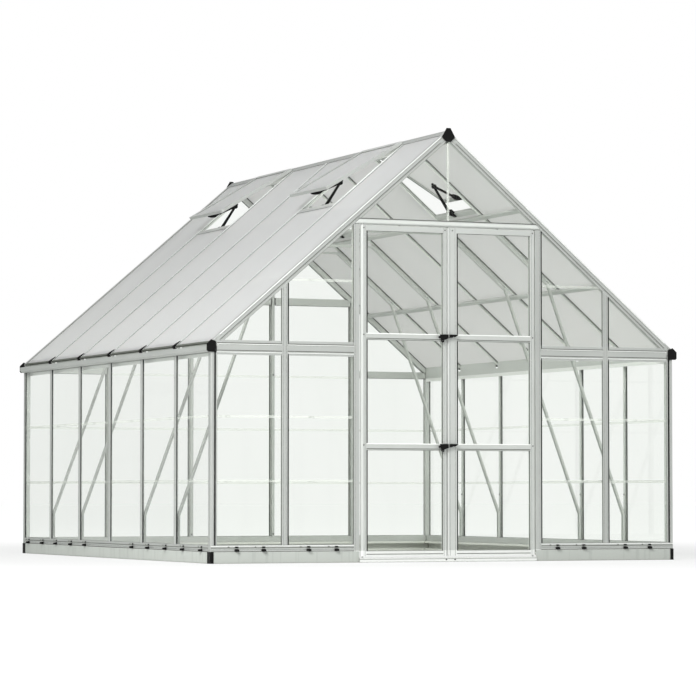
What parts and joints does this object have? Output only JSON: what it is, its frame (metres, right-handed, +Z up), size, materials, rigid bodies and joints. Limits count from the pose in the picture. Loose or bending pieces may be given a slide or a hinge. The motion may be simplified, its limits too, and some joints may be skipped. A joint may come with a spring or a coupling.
{
  "type": "greenhouse",
  "caption": "Aluminium greenhouse with clear walls, a translucent pitched roof, four open roof vents and hinged double doors.",
  "frame": {"origin": "centre of the footprint on the ground, in the middle of the bounding box's base", "axes": "+Z up, doors towards -Y, +X to the right when seen from the doors"},
  "size_m": [3.084, 3.686, 2.594],
  "materials": {
    "frame": "satin",
    "base": "satin",
    "black": "matte",
    "clear": "clear",
    "milky": "translucent"
  },
  "bodies": {
    "house": {"corner_posts": "frame", "left_studs": "frame", "right_studs": "frame", "back_mullions": "frame", "front_mullions": "frame", "door_posts": "frame", "door_header": "frame", "front_eave_rail": "frame", "back_eave_rail": "frame", "back_tie_rail": "frame", "left_gutter": "frame", "right_gutter": "frame", "front_rafters": "frame", "back_rafters": "frame", "left_roof_bars": "frame", "right_roof_bars": "frame", "vent_bars": "frame", "ridge_beam": "frame", "left_purlins": "frame", "right_purlins": "frame", "left_braces": "frame", "right_braces": "frame", "collar_ties": "frame", "side_sills": "frame", "end_sills": "frame", "door_threshold": "frame", "vent_frames": "frame", "base_left": "base", "base_right": "base", "base_back": "base", "base_front": "base", "base_corner_caps": "black", "roof_end_caps": "black", "bar_end_caps": "black", "vent_stays": "black", "left_panes": "clear", "right_panes": "clear", "back_panes": "clear", "front_panes": "clear", "pane_strips": "clear", "left_roof_sheets": "milky", "right_roof_sheets": "milky", "vent_sheets": "milky"},
    "left_door": {"left_door_frame": "frame", "left_door_panes": "clear", "left_door_latches": "black"},
    "right_door": {"right_door_frame": "frame", "right_door_panes": "clear", "right_door_keepers": "black"}
  },
  "joints": [
    {"name": "left_door_hinge", "type": "hinge", "parent": "house", "child": "left_door", "pos_m": [-0.558, -1.801, 1], "axis": [0, 0, -1], "range_deg": [0, 100]},
    {"name": "right_door_hinge", "type": "hinge", "parent": "house", "child": "right_door", "pos_m": [0.558, -1.801, 1], "axis": [0, 0, 1], "range_deg": [0, 100]}
  ]
}
